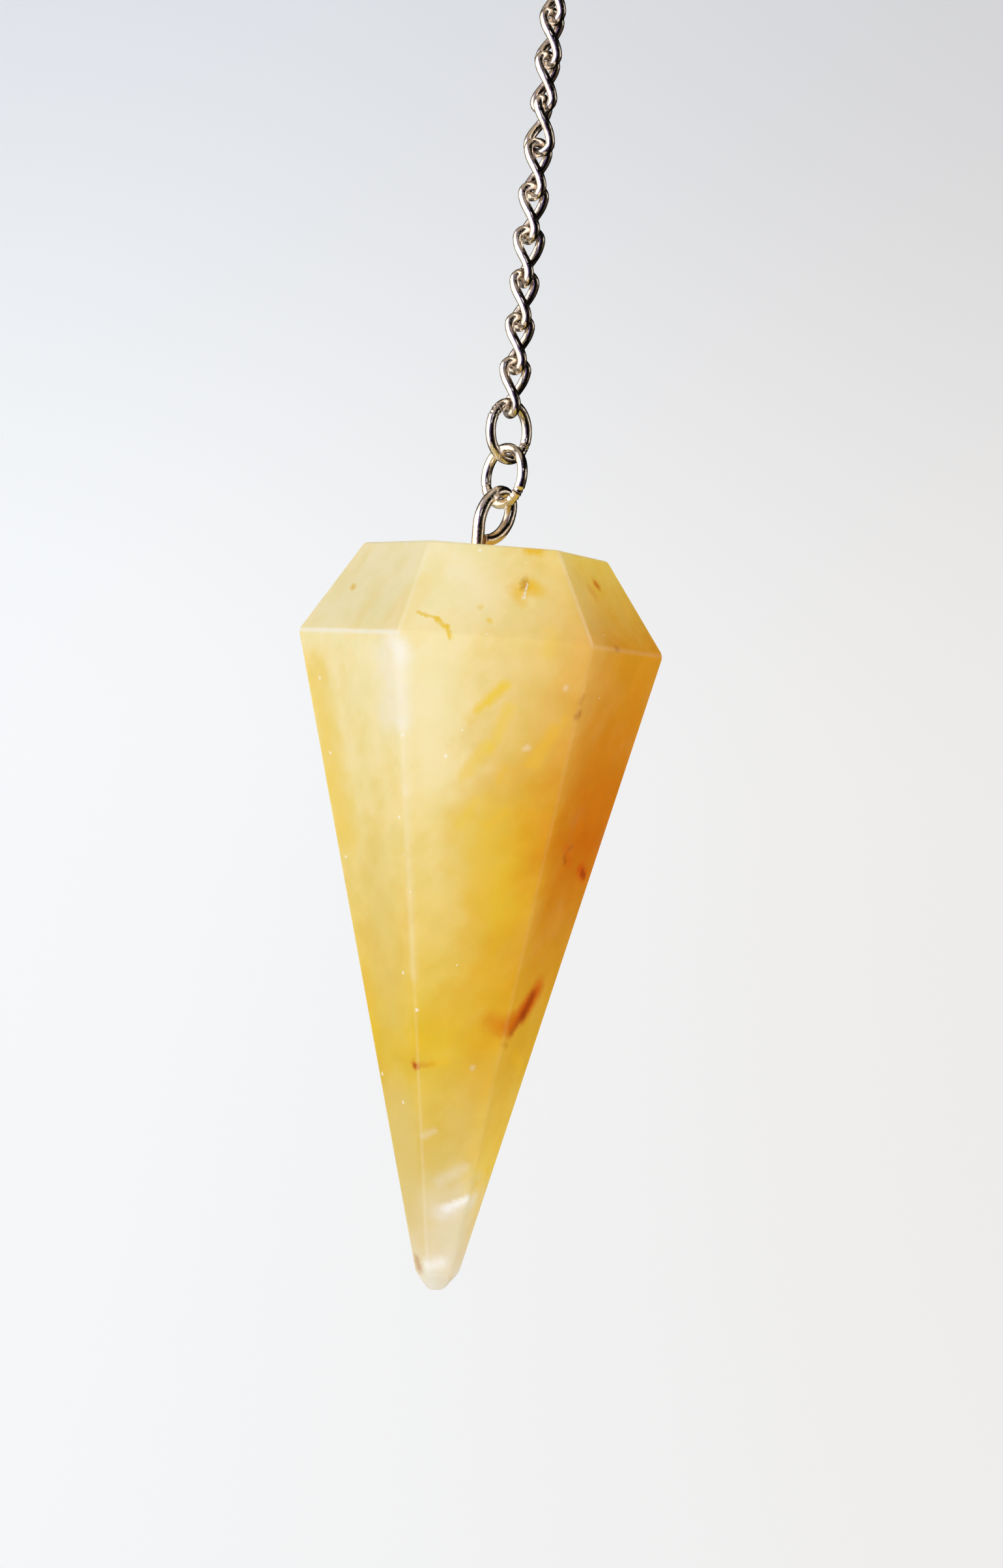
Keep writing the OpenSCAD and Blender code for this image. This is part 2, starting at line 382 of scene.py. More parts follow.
# %% [markdown]
# ## Lamps
# In the photograph broad daylight falls on the stone from the upper left, and its right side glows
# too. The room alone is too weak for that, and a stronger one would burn out the wire. So two large
# soft boxes, which no mirror shows, light the stone's left and right sides. A small weak one in
# front gives the wire its glints.

# %% Soft boxes
# Each lamp: its place and size in millimetres, its watts, and whether polished wire mirrors it
LAMPS = {
    "front_box": ((60, -420, 160), 120, 0.05, True),
    "left_fill": ((-260, -300, 420), 300, 0.49, False),
    "right_fill": ((338, -322, 180), 300, 1.46, False),
}
LAMP_TONE = (1.0, 0.98, 0.95)


def soft_box(name, place_mm, size_mm, watts):
    """A square light that looks at the pendant."""
    light = bpy.data.lights.new(name, "AREA")
    light.size, light.energy, light.color = size_mm * MM, watts, LAMP_TONE
    lamp = bpy.data.objects.new(name, light)
    bpy.context.scene.collection.objects.link(lamp)
    lamp.location = Vector(place_mm) * MM
    sight = (CAMERA_AIM - Vector(place_mm)).normalized()
    lamp.rotation_euler = sight.to_track_quat("-Z", "Y").to_euler()
    return lamp


for name, (place_mm, size_mm, watts, mirrored) in LAMPS.items():
    soft_box(name, place_mm, size_mm, watts).visible_glossy = mirrored
bpy.context.scene.view_settings.view_transform = "Standard"
print("Lamps:", ", ".join(LAMPS))

# %% [markdown]
# ## The stone's facets
# The real stone is cut on a flat lap: a table on top, six crown facets, six long facets and six
# small ones at the tip, all flat. They could be drawn again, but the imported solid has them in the
# right places, so the mesh is copied from it. Its triangles are loose, so the copy is merged at
# its corners first, and then the triangles that lie in one plane are dissolved into one facet.

# %% Copy the facets
MERGE_WITHIN = 0.001
IN_ONE_PLANE = math.radians(1)

stone_shape = bmesh.new()
stone_shape.from_mesh(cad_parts["stone"].data)
bmesh.ops.scale(stone_shape, vec=(1 / MM,) * 3, verts=stone_shape.verts)
bmesh.ops.remove_doubles(stone_shape, verts=stone_shape.verts, dist=MERGE_WITHIN)
bmesh.ops.dissolve_limit(
    stone_shape, angle_limit=IN_ONE_PLANE, verts=stone_shape.verts, edges=stone_shape.edges
)
print("Stone:", len(stone_shape.faces), "faces, with the drilled hole's own")

# %% [markdown]
# ## The stone's worn edges
# The real edges are not knife-sharp: they are worn to a small round that catches the light. A
# Bevel modifier would round the drilled hole too, whose rim is crisp. So the edges between two
# facets are picked by their angle and their distance from the hole, and only they are bevelled.
# A Weighted Normal modifier then keeps the wide facets flat in the light, and only the rounds
# shade smoothly.

# %% Round the edges
# In millimetres, but the angle in radians. A weight of 100, the highest, favours large faces most.
EDGE_ROUND, EDGE_STEPS = 0.2, 4
HOLE_REACH = 0.6
FLAT = math.radians(10)
FACET_WEIGHT = 100


def new_piece(name, shape, body, slot, *nodes):
    """Turns a finished bmesh, drawn in millimetres, into a piece that rides on a body."""
    bmesh.ops.scale(shape, vec=(MM,) * 3, verts=shape.verts)
    mesh = bpy.data.meshes.new(name)
    shape.to_mesh(mesh)
    shape.free()
    piece = bpy.data.objects.new(name, mesh)
    bpy.context.scene.collection.objects.link(piece)
    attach(piece, body)
    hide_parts(*nodes)
    return piece


to_stone = ON_PIVOT.inverted()


def between_facets(edge):
    """Whether two facets meet at an edge. A flat face's own edges and the hole's don't count."""
    middle = to_stone @ ((edge.verts[0].co + edge.verts[1].co) / 2)
    from_hole = (Vector((middle.x, middle.y)) - Vector((SHANK_OUT, 0))).length
    return edge.calc_face_angle(0) > FLAT and from_hole > HOLE_REACH


cut_edges = [edge for edge in stone_shape.edges if between_facets(edge)]
edge_lines = [tuple(corner.co.copy() for corner in edge.verts) for edge in cut_edges]
bmesh.ops.bevel(
    stone_shape,
    geom=cut_edges,
    offset=EDGE_ROUND,
    offset_type="OFFSET",
    segments=EDGE_STEPS,
    profile=0.5,
    affect="EDGES",
    clamp_overlap=True,
    material=-1,
)
print("Stone:", len(cut_edges), "edges rounded,", len(stone_shape.faces), "faces")
for face in stone_shape.faces:
    face.smooth = True
stone_tree = BVHTree.FromBMesh(stone_shape)
stone = new_piece("quartz_stone", stone_shape, "pendant", "quartz", "stone")
weigh = stone.modifiers.new("facet_normals", "WEIGHTED_NORMAL")
weigh.weight = FACET_WEIGHT
weigh.keep_sharp = False

# %% [markdown]
# ## Marks in the quartz
# Quartz like this carries rust: orange feathers along healed cracks, brown dots and small white
# pits. They could be painted as a picture, but then they would lie on the skin only. Here each one
# is a soft capsule in space: nodes measure how far a point is from a short line and fade the mark
# out with the distance.

# %% A mark as a node group
# Keeps a mark that is a single point from being divided by nothing
TINY = 0.0001

mark, mark_in, mark_out = new_group(
    "mark",
    {"Place": "Vector", "From": "Vector", "To": "Vector", "Reach": "Float", "Strength": "Float"},
    {"Share": "Float"},
)
run = aim(mark, "SUBTRACT", mark_in["To"], mark_in["From"])
rest = aim(mark, "SUBTRACT", mark_in["Place"], mark_in["From"])
run_squared = sum_up(mark, "MAXIMUM", measure(mark, "DOT_PRODUCT", run, run), TINY)
along = sum_up(mark, "DIVIDE", measure(mark, "DOT_PRODUCT", rest, run), run_squared)
along = sum_up(mark, "MINIMUM", sum_up(mark, "MAXIMUM", along, 0), 1)
away = measure(mark, "LENGTH", aim(mark, "SUBTRACT", rest, times(mark, run, along)))
fade = ease(mark, sum_up(mark, "DIVIDE", away, mark_in["Reach"]), 0, 1, 1, 0)
mark.links.new(sum_up(mark, "MULTIPLY", fade, mark_in["Strength"]), mark_out["Share"])
print("A mark takes", len(mark.nodes), "nodes")

# %% [markdown]
# ## A palette, and a way to point
# Iron gives the quartz its colours: cream and honey where there is little of it, amber and rust
# where there is much. Each mark could have a colour of its own, but a small palette of named tones
# keeps them in one family. A mark's place could be worked out on paper. It is easier to point at
# it: a ray goes from the camera through a pixel, and the mark is where the ray meets the stone.


# %% Pointing and the palette
def seen_at(x, y):
    """The point of the stone under a pixel of the picture, in the stone's own millimetres."""
    step = Vector((x - PICTURE.x / 2, PICTURE.y / 2 - y)) / PIXELS_PER_MM
    sight = camera.matrix_world.to_3x3() @ Vector((step.x, step.y, -CAMERA_DISTANCE))
    start = camera.matrix_world.translation / MM
    hit = stone_tree.ray_cast(start, sight.normalized())[0]
    if hit is None:
        raise ValueError(f"no stone under pixel {x}, {y}")
    return to_stone @ hit


# The stone's tones, from a pit's white to the brown of its darkest dots
WHITE, MILK, SHELL = paint(250, 247, 242), paint(240, 236, 228), paint(229, 221, 204)
CREAM, STRAW, SAND = paint(248, 235, 191), paint(241, 220, 154), paint(222, 195, 116)
LEMON, GOLD, HONEY = paint(242, 208, 96), paint(236, 198, 64), paint(229, 190, 56)
OCHRE, AMBER, BURNT = paint(223, 172, 50), paint(217, 149, 36), paint(206, 112, 8)
ORANGE, RUST = paint(234, 184, 28), paint(206, 88, 2)
UMBER, BROWN = paint(170, 104, 26), paint(132, 52, 0)
middle = seen_at(*(PICTURE / 2))
print("Under the picture's middle is the stone's point", [round(x, 1) for x in middle], "mm")

# %% [markdown]
# ## What the quartz shows
# The stone's honey colour is its own, but the change round it is partly painted light: its upper
# left, on the lit side, is painted palest, its right side deeper amber, as painted shade and light
# that comes through the stone, and its thin tip paler, partly as painted light that comes through
# it. It has milky zones, orange feathers, brown dots, white pits, and edges that are whitened
# unevenly, partly by wear and partly as a painted highlight. Noise alone would put such marks
# anywhere. So they are listed here, and noise only loosens their outlines later. Each list says
# what a mark looks like and which pixels it lies at.

# %% Tones, zones, marks and wear
# How the tones change down the stone, from its table at 0 to its tip at 1, on three sides of it.
# The pale side is painted as lit, and the amber side as painted shade and light come through it.
LIT_PALE_SIDE = ((0.05, CREAM), (0.32, STRAW), (0.65, HONEY), (0.83, SAND), (1.0, SHELL))
HONEY_SIDE = ((0.0, STRAW), (0.34, OCHRE), (0.65, OCHRE), (0.83, SAND), (1.0, SHELL))
SHADED_AMBER_SIDE = (
    (0.0, LEMON), (0.12, AMBER), (0.38, BURNT), (0.65, OCHRE), (0.83, LEMON), (1.0, SHELL),
)
# Towards the side painted deep amber, as painted shade and light that comes through the stone
SHADED_SIDE_DIRECTION = (1.0, -0.18, 0.0)
VEIL_RUN, VEIL_ACROSS = (0.55, 0.0, 0.835), (0.835, 0.0, -0.55)

# Each mark: colour, strength, reach in millimetres, and the pixels that it runs between
ZONES = (
    (CREAM, 0.34, 2.8, (650, 1000), (678, 1180)),
    (CREAM, 0.30, 3.2, (520, 900), (575, 880)),
    (GOLD, 0.60, 2.4, (484, 1040), (526, 1270)),
    # The milky zone below runs along the top of the left ridge: a painted highlight of caught
    # light.
    (MILK, 0.38, 1.8, (596, 1000), (600, 1100)),
    (SAND, 0.35, 2.4, (578, 1330), (600, 1560)),
    (SAND, 0.60, 2.4, (612, 1700), (645, 1900)),
    (HONEY, 0.50, 2.6, (735, 1265), (765, 1390)),
    (MILK, 0.26, 2.6, (690, 1850), (668, 1970)),
)
MARKS = (
    # The first four white marks run down the left ridge: painted highlights, light caught by the
    # edge.
    (WHITE, 0.42, 0.90, (604, 985), (616, 1005)),
    (WHITE, 0.36, 0.80, (613, 990), (617, 1110)),
    (WHITE, 0.16, 0.60, (617, 1110), (622, 1215)),
    (WHITE, 0.12, 0.45, (622, 1215), (634, 1500)),
    (GOLD, 0.85, 0.20, (642, 940), (672, 950)),
    (GOLD, 0.90, 0.24, (670, 950), (686, 964)),
    (GOLD, 0.90, 0.22, (686, 962), (691, 978)),
    (ORANGE, 0.70, 0.80, (797, 908), (812, 900)),
    (ORANGE, 0.60, 0.70, (812, 900), (826, 908)),
    (ORANGE, 0.40, 0.50, (796, 920), (802, 926)),
    (UMBER, 0.50, 0.34, (806, 892), (804, 902)),
    (MILK, 0.70, 0.10, (809, 897), (804, 920)),
    (ORANGE, 0.45, 0.22, (737, 934), (739, 932)),
    (GOLD, 0.80, 0.22, (752, 952), (753, 954)),
    (GOLD, 0.30, 0.70, (846, 970), (842, 1002)),
    (ORANGE, 0.40, 0.90, (912, 897), (918, 901)),
    (RUST, 0.80, 0.46, (915, 897), (917, 899)),
    (BURNT, 0.30, 0.60, (908, 908), (912, 914)),
    (ORANGE, 0.85, 0.50, (812, 845), (828, 846)),
    (ORANGE, 0.70, 0.32, (541, 901), (543, 902)),
    (UMBER, 0.60, 0.36, (887, 1101), (890, 1096)),
    (UMBER, 0.30, 0.34, (893, 1078), (896, 1072)),
    (UMBER, 0.55, 0.28, (946, 996), (950, 996)),
    (GOLD, 0.75, 0.36, (734, 1090), (772, 1052)),
    (GOLD, 0.60, 0.34, (750, 1080), (780, 1052)),
    (GOLD, 0.25, 0.50, (720, 1104), (748, 1074)),
    (GOLD, 0.50, 0.38, (752, 1152), (780, 1084)),
    (GOLD, 0.30, 0.30, (766, 1138), (788, 1088)),
    (GOLD, 0.50, 0.44, (710, 1192), (746, 1142)),
    (GOLD, 0.30, 0.34, (724, 1188), (756, 1148)),
    (ORANGE, 0.35, 0.34, (766, 1200), (773, 1182)),
    (GOLD, 0.30, 0.45, (706, 1268), (730, 1232)),
    (ORANGE, 0.30, 0.45, (750, 1268), (776, 1246)),
    (ORANGE, 0.35, 0.42, (812, 1174), (850, 1118)),
    (ORANGE, 0.25, 0.36, (824, 1176), (868, 1104)),
    (MILK, 0.28, 0.22, (868, 1057), (870, 1056)),
    (MILK, 0.26, 0.28, (806, 1150), (810, 1147)),
    (MILK, 0.30, 0.18, (725, 1640), (727, 1639)),
    (RUST, 0.95, 0.60, (890, 1334), (896, 1345)),
    (BROWN, 0.60, 0.32, (893, 1339), (897, 1345)),
    (RUST, 0.35, 0.50, (868, 1302), (874, 1326)),
    (BROWN, 0.40, 0.28, (866, 1316), (868, 1325)),
    (BROWN, 0.30, 0.24, (873, 1304), (879, 1300)),
    (RUST, 0.90, 1.10, (824, 1522), (806, 1552)),
    (RUST, 0.90, 1.00, (812, 1540), (786, 1576)),
    (BROWN, 0.60, 0.62, (817, 1530), (804, 1560)),
    (BROWN, 0.45, 0.50, (802, 1558), (785, 1586)),
    (BURNT, 0.50, 0.90, (756, 1568), (786, 1572)),
    (BURNT, 0.45, 0.60, (766, 1584), (786, 1562)),
    (UMBER, 0.35, 0.28, (774, 1604), (778, 1608)),
    (RUST, 0.80, 0.40, (636, 1635), (638, 1637)),
    (BROWN, 0.50, 0.22, (636, 1635), (638, 1637)),
    (BURNT, 0.40, 0.26, (642, 1636), (664, 1634)),
    (ORANGE, 0.40, 0.45, (664, 1634), (682, 1630)),
    (ORANGE, 0.40, 0.60, (790, 1622), (800, 1640)),
    (WHITE, 0.85, 0.42, (686, 1856), (716, 1842)),
    (MILK, 0.45, 0.75, (676, 1862), (726, 1844)),
    (MILK, 0.22, 0.55, (677, 1812), (714, 1792)),
    (MILK, 0.22, 0.34, (650, 1745), (666, 1737)),
    (WHITE, 0.60, 0.62, (656, 1944), (676, 1940)),
    (UMBER, 0.50, 0.46, (640, 1934), (644, 1948)),
    (ORANGE, 0.50, 0.20, (748, 1795), (749, 1797)),
    (ORANGE, 0.50, 0.20, (731, 1817), (732, 1818)),
    (ORANGE, 0.40, 0.22, (692, 1960), (693, 1961)),
)
PITS = (
    (684, 1161), (618, 1129), (613, 1255), (491, 1041), (507, 1156), (531, 1316), (619, 1494),
    (640, 1551), (587, 1649), (619, 1693), (624, 835), (737, 845),
)
# How white an edge is, by a pixel beside it: partly its wear, partly a painted highlight of the
# light that the edge catches. An edge that is not named gets the value on the next line.
OTHER_WEAR_AND_HIGHLIGHT = 0.25
EDGE_WEAR_AND_HIGHLIGHT = (
    ((617, 1200), 0.0), ((520, 968), 1.0), ((640, 900), 0.3), ((760, 975), 0.0),
    ((898, 1200), 0.06), ((980, 1006), 0.12), ((885, 910), 0.3), ((600, 837), 0.3),
    ((760, 843), 0.1), ((896, 861), 0.3),
)
print("Marks:", len(ZONES), "zones,", len(MARKS), "feathers and dots,", len(PITS), "pits")

# %% [markdown]
# ## Surface effects
# Cloudiness serves both finishes: it is soft noise in two sizes. Fine scratches serve the silver:
# they are noise stretched into short hairlines, once along each of two directions. A picture of
# scratches would need unwrapped surfaces, and noise in space needs none. Each effect is a node
# group with named inputs, so that a finish can use it with its own values.

# %% Scratches and clouds
HAIRLINE_TURNS = ((0.3, 0.5, 0.9), (1.2, -0.4, 2.2))
HAIRLINE_STRETCH = (1, 14, 3)
HAIRLINE_FROM, HAIRLINE_FULL = 0.56, 0.72
CLOUD_FROM, CLOUD_FULL = 0.3, 0.7

scratch, scratch_in, scratch_out = new_group(
    "hairline_scratches", {"Place": "Vector", "Density": "Float"}, {"Height": "Float"}
)
scaled = times(scratch, scratch_in["Place"], scratch_in["Density"])
lines = []
for angles in HAIRLINE_TURNS:
    turned = add(
        scratch, "ShaderNodeMapping", i0=scaled, Rotation=angles, Scale=HAIRLINE_STRETCH
    ).outputs[0]
    grain = noise(scratch, turned, 1.0, 2.0)[0]
    lines.append(ease(scratch, grain, HAIRLINE_FROM, HAIRLINE_FULL))
scratch.links.new(sum_up(scratch, "MAXIMUM", *lines), scratch_out["Height"])

cloud, cloud_in, cloud_out = new_group(
    "clouds",
    {"Place": "Vector", "Large": "Float", "Small": "Float"},
    {"Broad": "Float", "Fine": "Float"},
)
for size, out, detail in (("Large", "Broad", 3.0), ("Small", "Fine", 5.0)):
    puffs = noise(cloud, cloud_in["Place"], cloud_in[size], detail)[0]
    cloud.links.new(ease(cloud, puffs, CLOUD_FROM, CLOUD_FULL), cloud_out[out])
print("Groups:", ", ".join(group.name for group in bpy.data.node_groups))

# %% [markdown]
# ## The quartz finish: where a point is
# The real stone's colours lie inside it and look grown. A picture wrapped round the stone would
# show where it is joined. So every tone depends on where a point is in the stone, in the stone's
# own millimetres. Noise bends that place a little, by a far bend for the broad tones and by a near
# one for the marks, so that no outline looks drawn.

# %% Places in the quartz
# Each bend: how fine its noise is, and over what range it moves a point, in millimetres
FAR_BEND, NEAR_BEND = (0.9, 1.5), (4.5, 0.32)
BEND_DETAIL = 3.0


def bend(tree, place, fineness, reach):
    """A place that soft noise has moved."""
    waver = noise(tree, place, fineness, BEND_DETAIL)["Color"]
    centred = aim(tree, "SUBTRACT", waver, (0.5, 0.5, 0.5))
    return aim(tree, "MULTIPLY_ADD", centred, (reach, reach, reach), place)


quartz, tree, shader = new_material("honey_quartz")
place = add(
    tree,
    "ShaderNodeMapping",
    i0=add(tree, "ShaderNodeTexCoord").outputs["Object"],
    Location=tuple(to_stone.translation),
    Rotation=tuple(to_stone.to_euler()),
    Scale=(1 / MM,) * 3,
).outputs[0]
bent_far, bent_near = bend(tree, place, *FAR_BEND), bend(tree, place, *NEAR_BEND)
print("Places: bent over", FAR_BEND[1], "and", NEAR_BEND[1], "mm")

# %% [markdown]
# ## The quartz finish: tones
# The colour changes down the stone's height and around it, from pale cream to honey to amber. The
# change around it is partly painted light: pale on the lit side, amber where painted shade and
# light that comes through the stone lie. One ramp down the height can't show both, so three ramps
# are blended by how far a point looks towards the amber side. Clouds then deepen the tone here and
# there. Veils streak it as healed cracks do: they are noise stretched along a slanting line.

# %% Tones of the quartz
# By how far a point looks towards the amber side, painted as shade and light come through the
# stone: where honey and then amber take over
HONEY_FROM, HONEY_FULL = -0.15, 0.6
AMBER_FROM, AMBER_FULL = 0.42, 1.0
LARGE_CLOUDS, SMALL_CLOUDS, CLOUD_DEPTH = 0.16, 0.7, 0.8
VEIL_STRETCH = (0.4, 1.0, 0.7)
VEIL_FINENESS, VEIL_DETAIL = 0.65, 3.0
# Each kind of veil: the noise values where it starts and ends, and its strength at them
WARM_VEILS, PALE_VEILS = (0.45, 0.68, 0, 0.5), (0.34, 0.5, 0.025, 0)
CLOUD_TONE, VEIL_TONE = paint(247, 247, 225), paint(252, 240, 204)

puffs = use(tree, cloud, Place=place, Large=LARGE_CLOUDS, Small=SMALL_CLOUDS)
down = sum_up(tree, "DIVIDE", split(tree, bent_far)["Z"], -STONE_HEIGHT)
outwards = aim(tree, "NORMALIZE", aim(tree, "MULTIPLY", bent_far, (1, 1, 0)))
shaded_side_way = tuple((to_stone.to_3x3() @ Vector(SHADED_SIDE_DIRECTION)).normalized())
to_shaded_side = measure(tree, "DOT_PRODUCT", outwards, shaded_side_way)
# The pale ramp paints the lit side, and the amber ramp painted shade and light come through.
pale, honey, amber = (ramp(tree, down, side) for side in (LIT_PALE_SIDE, HONEY_SIDE, SHADED_AMBER_SIDE))
tone = blend_colours(tree, ease(tree, to_shaded_side, HONEY_FROM, HONEY_FULL), pale, honey)
tone = blend_colours(tree, ease(tree, to_shaded_side, AMBER_FROM, AMBER_FULL), tone, amber)
cloudy = sum_up(tree, "MULTIPLY", puffs["Fine"], CLOUD_DEPTH)
tone = blend_colours(tree, cloudy, tone, CLOUD_TONE, "MULTIPLY")

lengthwise, crosswise = (to_stone.to_3x3() @ Vector(way) for way in (VEIL_RUN, VEIL_ACROSS))
axes = (lengthwise, crosswise, lengthwise.cross(crosswise))
x, y, z = (
    measure(tree, "DOT_PRODUCT", place, tuple(share * axis))
    for share, axis in zip(VEIL_STRETCH, axes)
)
drawn = add(tree, "ShaderNodeCombineXYZ", X=x, Y=y, Z=z).outputs[0]
veils = noise(tree, drawn, VEIL_FINENESS, VEIL_DETAIL)[0]
tone = blend_colours(tree, ease(tree, veils, *WARM_VEILS), tone, VEIL_TONE, "MULTIPLY")
tone = blend_colours(tree, ease(tree, veils, *PALE_VEILS), tone, CREAM)
print("Tones of the quartz:", len(tree.nodes), "nodes")

# %% [markdown]
# ## The quartz finish: zones, marks and pits
# Over the tones come the listed marks, as they lie in the real stone, but for a milky zone and a
# few white marks down the left ridge, which are painted highlights: broad zones first, then
# feathers and dots. One picture of the stone's front could hold them all, but it would smear over
# the sides, and marks in space look right from there too. The white pits are open to the surface.
# The ones that the photograph shows are listed, and a speckle texture adds a few all round.

# %% Zones, marks and pits
PIT_REACH, PIT_STRENGTH = 0.14, 0.9
SPECKLE_FINENESS, SPECKLE_SIZE, SPECKLE_EDGE, SPECKLE_STRENGTH = 0.55, 0.015, 0.04, 0.5
PIT_TONE = paint(250, 246, 236)

for marks, where in ((ZONES, bent_far), (MARKS, bent_near)):
    for colour, strength, reach, first, last in marks:
        ends = {"From": tuple(seen_at(*first)), "To": tuple(seen_at(*last))}
        share = use(tree, mark, Place=where, Reach=reach, Strength=strength, **ends)[0]
        tone = blend_colours(tree, share, tone, colour)
pit_shares = []
for pixel in PITS:
    ends = dict.fromkeys(("From", "To"), tuple(seen_at(*pixel)))
    pit = use(tree, mark, Place=place, Reach=PIT_REACH, Strength=PIT_STRENGTH, **ends)[0]
    pit_shares.append(pit)
speckle = add(tree, "ShaderNodeTexVoronoi", Vector=place, Scale=SPECKLE_FINENESS, Randomness=1.0)
far_off = speckle.outputs["Distance"]
pit_shares.append(ease(tree, far_off, SPECKLE_SIZE, SPECKLE_EDGE, SPECKLE_STRENGTH, 0))
pits = pit_shares[0]
for share in pit_shares[1:]:
    pits = sum_up(tree, "MAXIMUM", pits, share)
tone = blend_colours(tree, pits, tone, PIT_TONE)
print("Quartz with its marks:", len(tree.nodes), "nodes")

# %% [markdown]
# ## The quartz finish: depth and gloss
# The real stone is translucent: light enters it, scatters and comes out warmer. Clear glass would
# let its far side show, which the cloudy stone doesn't, so the Principled shader's subsurface share
# does the scattering. The worn edges are a little rougher than the polished facets, and whiter,
# partly from wear and partly as a painted highlight. Each pit is a small dent.

# %% Depth, gloss and dents
# The scattering reaches this far, in millimetres, times the share of each channel
SCATTER_SHARE, SCATTER_REACH, SCATTER_CHANNELS = 0.55, 2.2, (1.0, 0.62, 0.30)
QUARTZ_IOR, QUARTZ_SPECULAR = 1.54, 0.008
POLISH, CLOUD_ROUGHNESS, WORN_ROUGHNESS, WEAR_AND_HIGHLIGHT_WHITENESS = 0.26, 0.10, 0.2, 0.75
PIT_DEPTH, PIT_BUMP = 0.02, 0.35

# The attribute holds the edges' whitening: partly wear, partly a painted highlight of caught light.
worn_and_lit = add(tree, "ShaderNodeAttribute", {"attribute_name": "worn_and_lit_edge"}).outputs["Fac"]
tone = blend_colours(tree, sum_up(tree, "MULTIPLY", worn_and_lit, WEAR_AND_HIGHLIGHT_WHITENESS), tone, WHITE)
tree.links.new(tone, shader.inputs["Base Color"])
shader.subsurface_method = "BURLEY"
shader.inputs["Subsurface Weight"].default_value = SCATTER_SHARE
shader.inputs["Subsurface Radius"].default_value = SCATTER_CHANNELS
shader.inputs["Subsurface Scale"].default_value = SCATTER_REACH * MM
shader.inputs["IOR"].default_value = QUARTZ_IOR
shader.inputs["Specular IOR Level"].default_value = QUARTZ_SPECULAR
rough = sum_up(tree, "MULTIPLY_ADD", puffs["Fine"], CLOUD_ROUGHNESS, POLISH)
rough = sum_up(tree, "MULTIPLY_ADD", worn_and_lit, WORN_ROUGHNESS, rough)
tree.links.new(rough, shader.inputs["Roughness"])
dents = sum_up(tree, "MULTIPLY", pits, -1.0)
bump = add(tree, "ShaderNodeBump", Strength=PIT_BUMP, Distance=PIT_DEPTH * MM, Height=dents)
tree.links.new(bump.outputs[0], shader.inputs["Normal"])
stone.data.materials.append(quartz)
print("Quartz:", len(tree.nodes), "nodes")

# %% [markdown]
# ## Worn edges and painted highlights
# Some of the real stone's edges catch the light as a white line, and others hardly show. One value
# for the whole bevel would make them all alike. So each edge has its own whitening, partly wear and
# partly a painted highlight for the light it catches. It is stored at the mesh's corners as an
# attribute from 0 to 1, which fades out across the round, and the quartz finish reads it.

# %% Wear and painted highlights of the edges
WEAR_REACH = 0.95 * EDGE_ROUND


def off_line(point, line):
    """How far a point is from a straight line between two ends."""
    a, b = line
    share = (point - a).dot(b - a) / (b - a).length_squared
    return (point - a.lerp(b, max(0, min(1, share)))).length


def paint_wear_and_highlight(piece, lines, reach):
    """Stores each corner's whitening, from wear and a painted highlight, as an attribute from 0 to
    1.
    """
    wear_and_highlight = [OTHER_WEAR_AND_HIGHLIGHT] * len(lines)
    for pixel, strength in EDGE_WEAR_AND_HIGHLIGHT:
        spot = ON_PIVOT @ seen_at(*pixel)
        wear_and_highlight[min(range(len(lines)), key=lambda n: off_line(spot, lines[n]))] = strength
    layer = piece.data.attributes.new("worn_and_lit_edge", "FLOAT", "POINT")
    for corner, value in zip(piece.data.vertices, layer.data):
        gaps = [off_line(corner.co / MM, line) for line in lines]
        value.value = max(worn_and_lit * max(0, 1 - gap / reach) for worn_and_lit, gap in zip(wear_and_highlight, gaps))


paint_wear_and_highlight(stone, edge_lines, WEAR_REACH)
print("Wear:", len(EDGE_WEAR_AND_HIGHLIGHT), "of", len(edge_lines), "edges have their own")

# %% [markdown]
# ## Drawn wire
# Links, rings and eye are all bent from drawn wire. A curve with a round profile would do, but its
# ends and its thickness could not be dented as pliers do it. So a wire is one circle that is
# extruded from station to station. A station is a matrix: where the wire's middle is, how its
# section stands, and, by its scale, how thick it is there.


# %% Wire helpers
WIRE_SIDES = 16
# The round of a wire's cut end, as a share of the wire's thickness
END_ROUND = 0.09


def station(point, run, out, swell=1.0):
    """A place on a wire's run, with its section square to the run."""
    run = run.normalized()
    out = (out - out.dot(run) * run).normalized()
    side = run.cross(out)
    turned = Matrix((out, side, run)).transposed().to_4x4()
    return Matrix.Translation(point) @ turned @ Matrix.Diagonal((swell, swell, 1, 1))


def draw_wire(stations, thickness, closed):
    """One circle, extruded from station to station, and either joined to its start or capped."""
    wire = bmesh.new()
    bmesh.ops.create_circle(
        wire, cap_ends=not closed, segments=WIRE_SIDES, radius=thickness / 2, matrix=stations[0]
    )
    first = rim = list(wire.edges)
    for here, there in zip(stations, stations[1:]):
        moved, rim = extrude_rim(wire, rim)
        bmesh.ops.transform(wire, matrix=there @ here.inverted(), verts=moved)
    if closed:
        bmesh.ops.bridge_loops(wire, edges=first + rim)
    else:
        bmesh.ops.contextual_create(wire, geom=rim)
        ends = [face for face in wire.faces if len(face.verts) == WIRE_SIDES]
        bmesh.ops.bevel(
            wire,
            geom=[edge for face in ends for edge in face.edges],
            offset=thickness * END_ROUND,
            segments=2,
            profile=0.5,
            affect="EDGES",
            material=-1,
        )
    bmesh.ops.recalc_face_normals(wire, faces=wire.faces)
    for face in wire.faces:
        face.smooth = len(face.verts) != WIRE_SIDES
    return wire


print("A wire's cut ends are rounded over", END_ROUND, "of its thickness")

